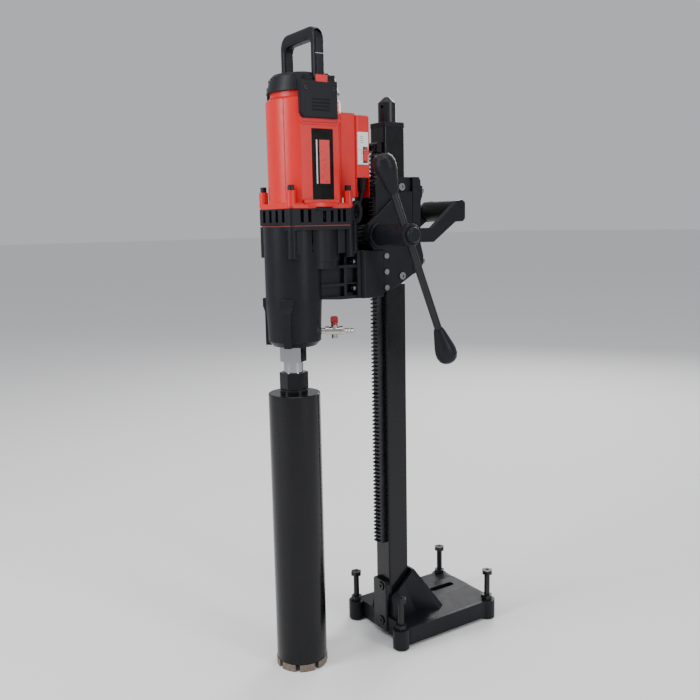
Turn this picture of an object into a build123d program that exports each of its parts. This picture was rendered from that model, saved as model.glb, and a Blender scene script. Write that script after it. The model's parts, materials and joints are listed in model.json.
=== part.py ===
"""Core drill rig: motor, water-fed diamond bit, rack-and-pinion carriage, column and anchor base.

Millimetres, +Z up. The column's axis is the Z axis and the floor under the feet is Z = 0.
The bit hangs in front of the column towards -Y, and the feed handle is on the +X side.
"""

from build123d import *
import math
import os

os.makedirs("parts", exist_ok=True)

# ---------------------------------------------------------------- driving dimensions
RUN = 0.05  # radial gap of a running fit

COLUMN = 40.0  # outside of the square column
COLUMN_WALL = 4.0
RIM = 35.0  # top of the base's rim, where the column stands
DECK = 46.0  # top of the base's raised middle
COLUMN_TOP = 866.0
CAP_TOP = 874.0

BOLT_X = 67.4  # levelling screws
BOLT_FRONT = -32.2
BOLT_REAR = 163.0
FOOT_R = 14.0
M10 = 5.0
PAD_X = 16.0  # rear screws that hold the column shoe down
PAD_Y = 53.0

SPINDLE_Y = -187.0
NOSE_Y = -183.0  # the gear case's nose is slightly behind its spindle
MOTOR_Y = -157.0
PINION_Z = 695.6

RACK_MODULE = 2.1167  # 12 diametral pitch
RACK_TIP = -33.2
RACK_HALF = 8.0
RACK_LOW = 166.0
RACK_TEETH = 99
PINION_TEETH = 14
PINION_R = RACK_MODULE * PINION_TEETH / 2
PINION_Y = RACK_TIP + RACK_MODULE - PINION_R
SHAFT_R = 8.0

CHEEK_IN = 23.0
CHEEK_OUT = 36.0
BAR_X = 112.0  # plane in which the feed crossbar lies
BAR_TILT = 21.9  # degrees from upright

# two gear stages: armature pinion to idler wheel, idler pinion to spindle wheel
FAST_MODULE = 1.0
FAST_TEETH = (8, 40)
SLOW_MODULE = 1.5
SLOW_TEETH = (11, 25)
FAST_REACH = FAST_MODULE * sum(FAST_TEETH) / 2
SLOW_REACH = SLOW_MODULE * sum(SLOW_TEETH) / 2
OFFSET = MOTOR_Y - SPINDLE_Y
IDLER_ALONG = (FAST_REACH**2 - SLOW_REACH**2 + OFFSET**2) / (2 * OFFSET)
IDLER_X = math.sqrt(FAST_REACH**2 - IDLER_ALONG**2)
IDLER_Y = MOTOR_Y - IDLER_ALONG

BIT_R = 41.0
BIT_LOW = 12.0
BIT_TOP = 453.0

LEAD_R = 4.0
LEAD_EXIT = (18.0, -64.0, 765.0)

# ---------------------------------------------------------------- helpers


def block(x, y, z, mode=Mode.ADD):
    """A box between two values on each axis, in the active part."""
    with Locations(((x[0] + x[1]) / 2, (y[0] + y[1]) / 2, (z[0] + z[1]) / 2)):
        Box(x[1] - x[0], y[1] - y[0], z[1] - z[0], mode=mode)


def post(x, y, z, radius, mode=Mode.ADD):
    """An upright cylinder from z[0] to z[1]."""
    with Locations((x, y, (z[0] + z[1]) / 2)):
        Cylinder(radius, z[1] - z[0], mode=mode)


def bar_x(x, y, z, radius, mode=Mode.ADD):
    """A cylinder along X from x[0] to x[1]."""
    with Locations(Location(((x[0] + x[1]) / 2, y, z), (0, 90, 0))):
        Cylinder(radius, x[1] - x[0], mode=mode)


def bar_y(x, y, z, radius, mode=Mode.ADD):
    """A cylinder along Y from y[0] to y[1]."""
    with Locations(Location((x, (y[0] + y[1]) / 2, z), (90, 0, 0))):
        Cylinder(radius, y[1] - y[0], mode=mode)


def prism(plane, points, depth, mode=Mode.ADD):
    """A closed outline on a plane, extruded along the plane's normal."""
    with BuildSketch(plane, mode=Mode.PRIVATE) as outline:
        with BuildLine():
            Polyline(*points, close=True)
        make_face()
    extrude(outline.sketch, amount=depth, mode=mode)


def rounded(x, y, z, radius, mode=Mode.ADD):
    """An upright block with rounded vertical corners."""
    with BuildSketch(Plane.XY.offset(z[0]), mode=Mode.PRIVATE) as outline:
        with Locations(((x[0] + x[1]) / 2, (y[0] + y[1]) / 2)):
            RectangleRounded(x[1] - x[0], y[1] - y[0], radius)
    extrude(outline.sketch, amount=z[1] - z[0], mode=mode)


def taper(low, high, mode=Mode.ADD):
    """A loft between two rounded rectangles, each given as (x, y, z, corner radius)."""
    with BuildSketch(mode=Mode.PRIVATE) as bottom:
        with Locations(((low[0][0] + low[0][1]) / 2, (low[1][0] + low[1][1]) / 2)):
            RectangleRounded(low[0][1] - low[0][0], low[1][1] - low[1][0], low[3])
    with BuildSketch(mode=Mode.PRIVATE) as top:
        with Locations(((high[0][0] + high[0][1]) / 2, (high[1][0] + high[1][1]) / 2)):
            RectangleRounded(high[0][1] - high[0][0], high[1][1] - high[1][0], high[3])
    faces = [Pos(0, 0, low[2]) * bottom.sketch.face(), Pos(0, 0, high[2]) * top.sketch.face()]
    loft(faces, ruled=True, mode=mode)


def hexagon(x, y, z, across_flats, mode=Mode.ADD, turn=0.0):
    """An upright hexagonal prism."""
    with BuildSketch(Plane.XY.offset(z[0]), mode=Mode.PRIVATE) as outline:
        with Locations((x, y)):
            RegularPolygon(across_flats / 2, 6, major_radius=False, rotation=turn)
    extrude(outline.sketch, amount=z[1] - z[0], mode=mode)


def turned(points, x, y, mode=Mode.ADD):
    """A closed outline of (radius, z) turned about an upright axis."""
    with BuildSketch(Plane(origin=(x, y, 0), x_dir=(1, 0, 0), z_dir=(0, -1, 0)), mode=Mode.PRIVATE) as half:
        with BuildLine():
            Polyline(*points, close=True)
        make_face()
    revolve(half.sketch, axis=Axis((x, y, 0), (0, 0, 1)), mode=mode)


def finish(part, name):
    """Label a finished piece and write it."""
    part.part.label = name
    export_step(part.part, f"parts/{name}.step")


def involute(angle):
    return math.tan(angle) - angle


def gear_points(teeth, module, thin, centre=(0.0, 0.0), turn=0.0):
    """Outline of a 20 degree spur gear; thin is the play taken off each tooth's thickness."""
    pitch_r = teeth * module / 2
    base_r = pitch_r * math.cos(math.radians(20))
    root_r = pitch_r - 1.2 * module
    tip_r = pitch_r + 0.92 * module
    half = math.pi / (2 * teeth) - thin / (2 * pitch_r)
    start = max(base_r, root_r)
    flank = []
    for step in range(5):
        radius = start + (tip_r - start) * step / 4
        reach = math.acos(min(1.0, base_r / radius))
        flank.append((radius, half + involute(math.radians(20)) - involute(reach)))
    if root_r < base_r:
        flank.insert(0, (root_r, flank[0][1]))
    tooth = [(r, -a) for r, a in flank] + [(r, a) for r, a in reversed(flank)]
    points = []
    for index in range(teeth):
        middle = turn + 2 * math.pi * index / teeth
        for radius, angle in tooth:
            spot = (radius * math.cos(middle + angle), radius * math.sin(middle + angle))
            points.append((centre[0] + spot[0], centre[1] + spot[1]))
    return points


def bearing(x, y, z, inner, outer):
    """A ball bearing drawn as two rings with the ball track between them."""
    middle = (inner + outer) / 2
    ball = (outer - inner) * 0.22
    height = z[1] - z[0]
    post(x, y, z, outer)
    post(x, y, z, inner, mode=Mode.SUBTRACT)
    for low, high in ((z[0], z[0] + 0.15 * height), (z[1] - 0.15 * height, z[1])):
        post(x, y, (low, high), middle + ball, mode=Mode.SUBTRACT)
        turned([(inner, low), (middle - ball, low), (middle - ball, high), (inner, high)], x, y)


# ---------------------------------------------------------------- base and column

deck_form = (((-69, 69), (22, 171), RIM, 8), ((-24, 24), (58, 160), DECK, 6))

with BuildPart() as base_plate:
    rounded((-75, 75), (-25, 175), (5, RIM), 10)
    taper(*deck_form)
    rounded((-69, 69), (-19, 169), (4, 28), 6, mode=Mode.SUBTRACT)
    taper(((-58, 58), (32, 162), 27.9, 6), ((-18, 18), (64, 154), DECK - 7, 4), mode=Mode.SUBTRACT)
    foot = [(0, 0), (FOOT_R - 2.5, 0), (FOOT_R, 2.5), (FOOT_R, RIM), (0, RIM)]
    for bolt_x in (-BOLT_X, BOLT_X):
        for bolt_y in (BOLT_FRONT, BOLT_REAR):
            turned(foot, bolt_x, bolt_y)
            post(bolt_x, bolt_y, (RIM, DECK), 11, mode=Mode.SUBTRACT)
    block((-24, 24), (-21, -10), (6, RIM))
    for rib_y in (18, 72, 152):
        block((-69, 69), (rib_y - 3, rib_y + 3), (10, 30))
    for rib_x in (-34, 34):
        block((rib_x - 3, rib_x + 3), (-19, 169), (10, 30))
    for pad_x in (-PAD_X, PAD_X):
        post(pad_x, PAD_Y, (18, 38), 8)
    with BuildSketch(Plane.XY.offset(8), mode=Mode.PRIVATE) as anchor_slot:
        with Locations((0, 112)):
            SlotOverall(54, 13, rotation=90)
    extrude(anchor_slot.sketch, amount=45, mode=Mode.SUBTRACT)
    block((-20.3, 20.3), (-40, -20.02), (-1, 50), mode=Mode.SUBTRACT)
    bar_y(6, (-21, -12), 24.5, 4.0, mode=Mode.SUBTRACT)
    for bolt_x in (-BOLT_X, BOLT_X):
        for bolt_y in (BOLT_FRONT, BOLT_REAR):
            post(bolt_x, bolt_y, (-1, RIM + 1), M10 + RUN, mode=Mode.SUBTRACT)
    for pad_x in (-PAD_X, PAD_X):
        post(pad_x, PAD_Y, (10, 60), 4, mode=Mode.SUBTRACT)
finish(base_plate, "base_plate")

with BuildPart() as column_shoe:
    foot_outline = [(-34, -20), (34, -20), (34, 26), (57, 64), (50, 78), (-50, 78), (-57, 64), (-34, 26)]
    head_outline = [(-28, -20), (28, -20), (28, 10), (28, 20), (26, 28), (-26, 28), (-28, 20), (-28, 10)]
    with BuildSketch(Plane.XY.offset(RIM)):
        with BuildLine():
            Polyline(*foot_outline, close=True)
        make_face()
    with BuildSketch(Plane.XY.offset(112)):
        with BuildLine():
            Polyline(*head_outline, close=True)
        make_face()
    loft(ruled=True)
    prism(Plane.YZ.offset(-60), [(-40, 56.5), (16, 104.5), (24, 112.5), (-40, 113)], 120, Mode.SUBTRACT)
    block((-24.5, 24.5), (-30, 24), (72, 120), mode=Mode.SUBTRACT)
    half_column = COLUMN / 2 + 0.02
    block((-half_column, half_column), (-40, half_column), (0, 120), mode=Mode.SUBTRACT)
    block((-18, 18), (26, 66), (30, 60), mode=Mode.SUBTRACT)
    for side in (-1, 1):
        post(side * PAD_X, PAD_Y, (36, 60), 8)
        post(side * PAD_X, PAD_Y, (30, 61), 4, mode=Mode.SUBTRACT)
    taper(*deck_form, mode=Mode.SUBTRACT)
    for side in (-1, 1):
        post(side * PAD_X, PAD_Y, (60, 90), 7.5, mode=Mode.SUBTRACT)
finish(column_shoe, "column_shoe")

with BuildPart() as column_tube:
    half_wall = COLUMN / 2 - COLUMN_WALL
    rounded((-20, 20), (-20, 20), (RIM, COLUMN_TOP), 3)
    rounded((-half_wall, half_wall), (-half_wall, half_wall), (RIM - 1, COLUMN_TOP + 1), 1.5, mode=Mode.SUBTRACT)
    bar_y(6, (-30, -10), 88, 4.0, mode=Mode.SUBTRACT)
    for index in range(6):
        bar_y(0, (-30, -10), 190 + 120 * index, 2.5, mode=Mode.SUBTRACT)
finish(column_tube, "column_tube")

with BuildPart() as shoe_front_plate:
    block((-20, 20), (-28, -20.02), (8, 98))
    chamfer(shoe_front_plate.edges().filter_by(Axis.Y).group_by(Axis.Z)[-1], 5)
    fillet(shoe_front_plate.edges().filter_by(Axis.Z).group_by(Axis.Y)[0], 3)
    for screw_z in (24.5, 88):
        bar_y(6, (-29, -19), screw_z, 4.0, mode=Mode.SUBTRACT)
        bar_y(6, (-29, -25), screw_z, 8.0, mode=Mode.SUBTRACT)
finish(shoe_front_plate, "shoe_front_plate")

with BuildPart() as shoe_screws:
    for screw_z, reach in ((24.5, -12.5), (88, -12)):
        bar_y(6, (-25, reach), screw_z, 4.0)
        bar_y(6, (-30, -25), screw_z, 6.5)
        prism(Plane.XZ.offset(28), [(6 + 3 * math.cos(a), screw_z + 3 * math.sin(a)) for a in
              [math.pi / 3 * i for i in range(6)]], 3, Mode.SUBTRACT)
    for pad_x in (-PAD_X, PAD_X):
        post(pad_x, PAD_Y, (20, 60), 4.0)
        hexagon(pad_x, PAD_Y, (60, 65.5), 13)
finish(shoe_screws, "shoe_screws")

with BuildPart() as lock_nuts:
    for bolt_x in (-BOLT_X, BOLT_X):
        for bolt_y in (BOLT_FRONT, BOLT_REAR):
            hexagon(bolt_x, bolt_y, (RIM, RIM + 8.4), 17, turn=12)
            post(bolt_x, bolt_y, (RIM - 1, RIM + 12), M10 + RUN, mode=Mode.SUBTRACT)
finish(lock_nuts, "lock_nuts")

for end_name, bolt_y in (("front", BOLT_FRONT), ("rear", BOLT_REAR)):
    for side_name, bolt_x in (("left", -BOLT_X), ("right", BOLT_X)):
        with BuildPart() as levelling_screw:
            post(bolt_x, bolt_y, (1.0, 84), M10)
            hexagon(bolt_x, bolt_y, (83, 90), 17, turn=20)
            chamfer(levelling_screw.edges().group_by(Axis.Z)[0], 1.2)
            post(bolt_x, bolt_y, (89, 91), 3.0, mode=Mode.SUBTRACT)
        finish(levelling_screw, f"levelling_screw_{end_name}_{side_name}")

# ---------------------------------------------------------------- rack, top cap and jack screw

rack_pitch = math.pi * RACK_MODULE
rack_line = RACK_TIP + RACK_MODULE
rack_root = rack_line + 1.2 * RACK_MODULE

with BuildPart() as gear_rack:
    outline = [(-COLUMN / 2, RACK_LOW), (rack_root, RACK_LOW)]
    play = 0.12
    half_tip = rack_pitch / 4 - RACK_MODULE * math.tan(math.radians(20)) - play
    half_root = rack_pitch / 4 + 1.2 * RACK_MODULE * math.tan(math.radians(20)) - play
    for tooth in range(RACK_TEETH):
        middle = RACK_LOW + rack_pitch * (tooth + 0.5)
        outline += [(rack_root, middle - half_root), (RACK_TIP, middle - half_tip)]
        outline += [(RACK_TIP, middle + half_tip), (rack_root, middle + half_root)]
    rack_top = RACK_LOW + rack_pitch * RACK_TEETH
    outline += [(rack_root, rack_top), (-COLUMN / 2, rack_top)]
    prism(Plane.YZ.offset(-RACK_HALF), outline, 2 * RACK_HALF)
    for index in range(6):
        bar_y(0, (-40, -25), 190 + 120 * index, 4.5, mode=Mode.SUBTRACT)
        bar_y(0, (-26, -19), 190 + 120 * index, 2.5, mode=Mode.SUBTRACT)
finish(gear_rack, "gear_rack")

with BuildPart() as rack_screws:
    for index in range(6):
        bar_y(0, (-28.2, -25), 190 + 120 * index, 4.5)
        bar_y(0, (-25, -13), 190 + 120 * index, 2.5)
        prism(Plane.XZ.offset(26.4), [(2 * math.cos(a), 190 + 120 * index + 2 * math.sin(a)) for a in
              [math.pi / 3 * i for i in range(6)]], 3, Mode.SUBTRACT)
finish(rack_screws, "rack_screws")

with BuildPart() as rack_stop:
    block((-14, 14), (-31, -20), (rack_top + 2, rack_top + 18))
    chamfer(rack_stop.edges().filter_by(Axis.X).group_by(Axis.Y)[0], 2.5)
    for side in (-1, 1):
        bar_y(side * 8, (-32, -31), rack_top + 10, 4.0)
        bar_y(side * 8, (-34, -31), rack_top + 10, 4.0)
        bar_y(side * 8, (-35, -32.5), rack_top + 10, 2.2, mode=Mode.SUBTRACT)
finish(rack_stop, "rack_stop")

with BuildPart() as column_cap:
    rounded((-20.5, 20.5), (-20.5, 20.5), (COLUMN_TOP, CAP_TOP), 3)
    rounded((-half_wall + 0.02, half_wall - 0.02), (-half_wall + 0.02, half_wall - 0.02),
            (COLUMN_TOP - 30, COLUMN_TOP), 1.6)
    chamfer(column_cap.edges().group_by(Axis.Z)[-1], 1.0)
    post(0, 0, (COLUMN_TOP - 40, CAP_TOP + 5), 10 + RUN, mode=Mode.SUBTRACT)
finish(column_cap, "column_cap")

with BuildPart() as jack_screw:
    turned([(0, 790), (8.5, 790), (10, 792), (10, CAP_TOP + 0.3), (14.5, CAP_TOP + 0.3), (14.5, 905.5),
            (4.5, 914.6), (0, 914.6)], 0, 0)
    with Locations(Location((0, 0, 898.5), (90, 20, 0))):
        Cylinder(2.6, 40, mode=Mode.SUBTRACT)
finish(jack_screw, "jack_screw")

# ---------------------------------------------------------------- carriage

cheek_outline = [(-46, 713), (-46, 775), (-36, 787), (23.7, 787), (23.7, 629.5), (-4, 613.6), (-22, 606.6),
                 (-36.2, 603), (-36.2, 672.3), (-50, 672.3), (-46, 690)]
boss_outline = [(23.7, 764), (-2, 764), (-22, 748), (-64, 713), (-66, 700), (-64, 688), (-55, 672.3),
                (-36.2, 672.3), (-36.2, 603), (-22, 606.6), (-4, 613.6), (23.7, 629.5)]

for side_name, side in (("left", -1), ("right", 1)):
    with BuildPart() as cheek:
        prism(Plane.YZ.offset(CHEEK_IN), cheek_outline, 7)
        prism(Plane.YZ.offset(30), boss_outline, CHEEK_OUT - 30)
        prism(Plane.YZ.offset(CHEEK_IN), [(-46, 713), (-64, 713), (-66, 700), (-64, 688), (-55, 672.3),
              (-40, 672.3)], 7.5)
        fillet(cheek.edges().group_by(Axis.X)[-1], 1.5)
        bar_x((CHEEK_OUT - 1, 43), PINION_Y, PINION_Z, 19.5)
        chamfer(cheek.edges().group_by(Axis.X)[-1], 1.2)
        bar_x((20, 50), PINION_Y, PINION_Z, 11.0, mode=Mode.SUBTRACT)
        for screw_z in (628.3, 770.9):
            bar_x((20, 40), 0, screw_z, 4.0, mode=Mode.SUBTRACT)
        for bolt_z in (611, 636.5, 662):
            bar_x((29, 40), -31, bolt_z, 3.0, mode=Mode.SUBTRACT)
        if side < 0:
            mirror(about=Plane.YZ, mode=Mode.REPLACE)
            bar_x((-78, -43), PINION_Y, PINION_Z, 14.0)
            bar_x((-80, -42), PINION_Y, PINION_Z, 11.0, mode=Mode.SUBTRACT)
    finish(cheek, f"carriage_cheek_{side_name}")

with BuildPart() as carriage_rear:
    rear_outline = [(23.9, 787), (36.5, 787), (41, 779.5), (41, 773.5), (44, 772), (43.5, 757), (40.3, 749),
                    (38.3, 684), (45, 660), (45.5, 648), (38, 636), (25.5, 630.5), (23.9, 630)]
    prism(Plane.YZ.offset(-CHEEK_OUT), rear_outline, 2 * CHEEK_OUT)
    fillet(carriage_rear.edges().filter_by(Axis.Z).group_by(Axis.Y)[-1], 2)
    for bolt_z in (650, 765):
        for side in (-1, 1):
            bar_y(side * 29.5, (20, 50), bolt_z, 3.0, mode=Mode.SUBTRACT)
finish(carriage_rear, "carriage_rear")

with BuildPart() as mount_block:
    block((-36, 36), (-80, -36.5), (596, 672))
    fillet(mount_block.edges().filter_by(Axis.Z).group_by(Axis.Y)[0], 9)
    fillet(mount_block.edges().group_by(Axis.Z)[0], 3)
    chamfer(mount_block.edges().group_by(Axis.Z)[-1], 1.2)
    block((-12, 12), (-50, -30), (590, 680), mode=Mode.SUBTRACT)
    for side in (-1, 1):
        for bolt_z in (613, 655):
            bar_y(side * 24, (-82, -60), bolt_z, 4.0, mode=Mode.SUBTRACT)
finish(mount_block, "mount_block")

with BuildPart() as guide_pads:
    for pad_z in ((614, 652), (742, 784)):
        for side in (-1, 1):
            block(sorted((side * 20.3, side * 22.98)), (-16, 16), pad_z)
        if pad_z[0] > 700:
            block((-15, 15), (20.3, 23.88), pad_z)
        else:
            block((-15, 15), (20.3, 23.88), (632, 668))
finish(guide_pads, "guide_pads")

with BuildPart() as carriage_screws:
    for side in (-1, 1):
        for screw_z in (628.3, 770.9):
            bar_x(sorted((side * 23, side * 36)), 0, screw_z, 4.0)
            bar_x(sorted((side * 36, side * 39)), 0, screw_z, 6.0)
            bar_x(sorted((side * 37.2, side * 40)), 0, screw_z, 3.0, mode=Mode.SUBTRACT)
        for bolt_z in (611, 636.5, 662):
            bar_x(sorted((side * 29, side * 36)), -31, bolt_z, 3.0)
            bar_x(sorted((side * 36, side * 38)), -31, bolt_z, 4.5)
        for bolt_z in (650, 765):
            bar_y(side * 29.5, (24, 38.3), bolt_z, 3.0)
            bar_y(side * 29.5, (46 if bolt_z < 700 else 44.3, 50 if bolt_z < 700 else 48.3), bolt_z, 5.0)
            bar_y(side * 29.5, (38, 48 if bolt_z < 700 else 45), bolt_z, 3.0)
finish(carriage_screws, "carriage_screws")

with BuildPart() as feed_bushes:
    for x0, x1 in ((-78, -23.2), (23.2, 43)):
        bar_x((x0, x1), PINION_Y, PINION_Z, 11.0)
        bar_x((x0 - 1, x1 + 1), PINION_Y, PINION_Z, SHAFT_R + RUN, mode=Mode.SUBTRACT)
finish(feed_bushes, "feed_bushes")

with BuildPart() as carry_frame:
    arm_outline = [(10, 682), (10, 705), (57, 705), (110, 748.5), (124, 750.5), (129, 746), (129, 719),
                   (124, 714.5), (108, 714), (61, 681.5)]
    prism(Plane.YZ.offset(CHEEK_OUT), arm_outline, 9)
    fillet(carry_frame.edges().filter_by(Axis.X).group_by(Axis.Y)[-1], 4)
    chamfer(carry_frame.edges().group_by(Axis.X)[-1], 1.0)
    mirror(about=Plane.YZ)
    for side in (-1, 1):
        for bolt_y in (14.5, 26):
            bar_x(sorted((side * 44, side * 49)), bolt_y, 693.5, 4.8)
            bar_x(sorted((side * 47, side * 50)), bolt_y, 693.5, 2.4, mode=Mode.SUBTRACT)
finish(carry_frame, "carry_frame")

with BuildPart() as carry_grip:
    bar_x((-36, 36), 115.5, 732, 17.2)
    fillet(carry_grip.edges().filter_by(GeomType.CIRCLE), 2.5)
finish(carry_grip, "carry_grip")

# ---------------------------------------------------------------- motor bracket

with BuildPart() as motor_bracket:
    for shelf_low, shelf_high in ((597, 602), (618, 622.5), (646, 650.5)):
        block((-32, 32), (-152, -86), (shelf_low, shelf_high))
    block((-32, 32), (-150, -86), (597, 646.5))
    for side in (-1, 1):
        for low, high in ((602, 618), (622.5, 646)):
            block(sorted((side * 24, side * 33)), (-160, -110), (low, high), mode=Mode.SUBTRACT)
            block(sorted((side * 24, side * 33)), (-105, -86), (low, high), mode=Mode.SUBTRACT)
    block((-34, 34), (-86, -80.02), (597, 672))
    block((-28, 28), (-106, -86), (646, 668))
    block((-33, 33), (-106.5, -86), (668, 672))
    prism(Plane.YZ.offset(-40), [(-165, 590), (-165, 600), (-110, 596.5), (-80, 596.5), (-80, 590)], 80,
          Mode.SUBTRACT)
    post(0, NOSE_Y, (580, 700), 43.52, mode=Mode.SUBTRACT)
    rounded((-45.02, 45.02), (-188.02, -111.98), (646.98, 680), 34.02, mode=Mode.SUBTRACT)
    for side in (-1, 1):
        for bolt_z in (613, 655):
            bar_y(side * 24, (-92, -78), bolt_z, 4.0, mode=Mode.SUBTRACT)
            block(sorted((side * 16, side * 40)), (-105, -86), (bolt_z - 4.5, bolt_z + 7.5), mode=Mode.SUBTRACT)
            bar_y(side * 24, (-105, -86), bolt_z, 6.8, mode=Mode.SUBTRACT)
finish(motor_bracket, "motor_bracket")

with BuildPart() as bracket_bolts:
    for side in (-1, 1):
        for bolt_z in (613, 655):
            bar_y(side * 24, (-86, -62), bolt_z, 4.0)
            bar_y(side * 24, (-91, -86), bolt_z, 6.3)
            bar_y(side * 24, (-92, -88.5), bolt_z, 3.0, mode=Mode.SUBTRACT)
finish(bracket_bolts, "bracket_bolts")

# ---------------------------------------------------------------- gear case

BOSS_X = 43.0
BOSS_Y = 50.0  # bosses' distance from the motor axis along Y
bosses = [(x, MOTOR_Y + y) for x in (-BOSS_X, BOSS_X) for y in (-BOSS_Y, BOSS_Y)]

with BuildPart() as gear_case:
    turned([(0, 528.3), (34, 528.3), (41.2, 536), (41.8, 560), (43.5, 596), (43.5, 647), (0, 647)], 0, NOSE_Y)
    post(0, NOSE_Y, (646, 711.5), 43.5)
    with BuildSketch(Plane.XY.offset(647)):
        with Locations((0, -150)):
            RectangleRounded(90, 76, 34)
    extrude(amount=12)
    rounded((-46.5, 46.5), (-189, -110.5), (659, 711.5), 34.5)
    for boss_x, boss_y in bosses:
        post(boss_x, boss_y, (664, 711.5), 7)
        block(sorted((boss_x * 0.6, boss_x)), sorted((boss_y, MOTOR_Y + (boss_y - MOTOR_Y) * 0.6)),
              (670, 711.5))
    rounded((-50, 50), (MOTOR_Y - 57, MOTOR_Y + 57), (706, 711.5), 10)
    for turn in (-44, 224):
        spot = (41.5 * math.cos(math.radians(turn)), NOSE_Y + 41.5 * math.sin(math.radians(turn)))
        plane = Plane(origin=(spot[0], spot[1], 528.3), x_dir=(-math.sin(math.radians(turn)),
                      math.cos(math.radians(turn)), 0), z_dir=(0, 0, 1))
        with BuildSketch(plane, mode=Mode.PRIVATE) as stem:
            Rectangle(11, 9)
        extrude(stem.sketch, amount=70)
        with BuildSketch(plane.offset(62), mode=Mode.PRIVATE) as lug:
            Rectangle(20, 12)
        with BuildSketch(plane.offset(52), mode=Mode.PRIVATE) as lug_low:
            Rectangle(11, 9)
        loft([lug_low.sketch.face(), lug.sketch.face()], ruled=True)
        extrude(lug.sketch, amount=12)
    # inside: spindle bore, gear chamber and seats
    post(0, SPINDLE_Y, (500, 560), 17 + RUN, mode=Mode.SUBTRACT)
    post(0, SPINDLE_Y, (545, 640), 20, mode=Mode.SUBTRACT)
    post(0, SPINDLE_Y, (640, 652), 22, mode=Mode.SUBTRACT)
    post(0, -181, (652, 712), 33, mode=Mode.SUBTRACT)
    post(IDLER_X, IDLER_Y, (652, 712), 12, mode=Mode.SUBTRACT)
    post(IDLER_X, IDLER_Y, (673, 712), 21.8, mode=Mode.SUBTRACT)
    post(IDLER_X, IDLER_Y, (644, 653), 4 + RUN, mode=Mode.SUBTRACT)
    rounded((-40, 40), (-178, -117), (664, 712), 27, mode=Mode.SUBTRACT)
    for boss_x, boss_y in bosses:
        post(boss_x, boss_y, (680, 712), 2.5, mode=Mode.SUBTRACT)
finish(gear_case, "gear_case")

with BuildPart() as gear_case_gasket:
    rounded((-48.5, 48.5), (MOTOR_Y - 55.5, MOTOR_Y + 55.5), (711.5, 713), 9)
    rounded((-41, 41), (MOTOR_Y - 45, MOTOR_Y + 40), (711, 714), 20, mode=Mode.SUBTRACT)
    for boss_x, boss_y in bosses:
        post(boss_x, boss_y, (711, 714), 2.6, mode=Mode.SUBTRACT)
finish(gear_case_gasket, "gear_case_gasket")

with BuildPart() as vent_ring:
    rounded((-50, 50), (MOTOR_Y - 57, MOTOR_Y + 57), (713, 738), 10)
    post(0, MOTOR_Y, (717, 739), 46, mode=Mode.SUBTRACT)
    post(0, MOTOR_Y, (697, 713), 15)
    post(IDLER_X, IDLER_Y, (690, 713), 8)
    post(0, MOTOR_Y, (690, 711), 13, mode=Mode.SUBTRACT)
    post(0, MOTOR_Y, (700, 720), 5.6, mode=Mode.SUBTRACT)
    post(IDLER_X, IDLER_Y, (680, 706), 4 + RUN, mode=Mode.SUBTRACT)
    for slot_x in (-30, -10, 10, 30):
        block((slot_x - 4, slot_x + 4), (MOTOR_Y - 60, MOTOR_Y + 60), (717.5, 736), mode=Mode.SUBTRACT)
    for slot_y in (-36, -23, 3, 16, 29, 38.5):
        block((-60, 60), (MOTOR_Y + slot_y - 2.7, MOTOR_Y + slot_y + 2.7), (717.5, 736), mode=Mode.SUBTRACT)
    for boss_x, boss_y in bosses:
        post(boss_x, boss_y, (713, 738), 7)
        post(boss_x, boss_y, (712, 740), 2.6, mode=Mode.SUBTRACT)
finish(vent_ring, "vent_ring")

# ---------------------------------------------------------------- motor housing

with BuildPart() as motor_housing:
    rounded((-50, 50), (MOTOR_Y - 57, MOTOR_Y + 57), (738, 746), 10)
    chamfer(motor_housing.edges().group_by(Axis.Z)[-1], 2.5)
    post(0, MOTOR_Y, (740, 900), 56.5)
    chamfer(motor_housing.edges().group_by(Axis.Z)[-1], 4)
    post(0, MOTOR_Y, (896, 908), 50)
    block((46, 60), (-230, -80), (746, 910), mode=Mode.SUBTRACT)
    block((-60, -46), (-230, -80), (746, 910), mode=Mode.SUBTRACT)
    for boss_x, boss_y in bosses:
        post(boss_x, boss_y, (740, 764), 7)
    block((-20, 20), (-106, -98), (756, 880))
    block((43.5, 60), (-230, -80), (899, 910), mode=Mode.SUBTRACT)
    block((-60, -43.5), (-230, -80), (899, 910), mode=Mode.SUBTRACT)
    for side in (-1, 1):
        block(sorted((side * 45.4, side * 47)), (-171, -134), (750, 854), mode=Mode.SUBTRACT)
    # inside
    post(0, MOTOR_Y, (730, 770), 43.6, mode=Mode.SUBTRACT)
    with BuildSketch(Plane.XY.offset(760), mode=Mode.PRIVATE) as bore:
        with Locations((0, MOTOR_Y)):
            Circle(50.5)
            Rectangle(84, 110, mode=Mode.INTERSECT)
    extrude(bore.sketch, amount=132, mode=Mode.SUBTRACT)
    post(0, MOTOR_Y, (888, 900), 15)
    post(0, MOTOR_Y, (880, 903.5), 11, mode=Mode.SUBTRACT)
    for side in (-1, 1):
        block(sorted((side * 38, side * 60)), (MOTOR_Y - 9, MOTOR_Y + 9), (872, 888), mode=Mode.SUBTRACT)
    for boss_x, boss_y in bosses:
        post(boss_x, boss_y, (730, 770), 2.6, mode=Mode.SUBTRACT)
finish(motor_housing, "motor_housing")

with BuildPart() as motor_screws:
    for boss_x, boss_y in bosses:
        post(boss_x, boss_y, (681, 764), 2.5)
        post(boss_x, boss_y, (764, 772), 4.8)
        hexagon(boss_x, boss_y, (768, 773), 4, mode=Mode.SUBTRACT)
    for side in (-1, 1):
        for screw_y in (-24, 24):
            bar_x(sorted((side * 40, side * 49)), MOTOR_Y + screw_y, 911, 2.2)
            bar_x(sorted((side * 49, side * 51.4)), MOTOR_Y + screw_y, 911, 3.8)
            bar_x(sorted((side * 50.2, side * 52)), MOTOR_Y + screw_y, 911, 1.8, mode=Mode.SUBTRACT)
finish(motor_screws, "motor_screws")

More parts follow.
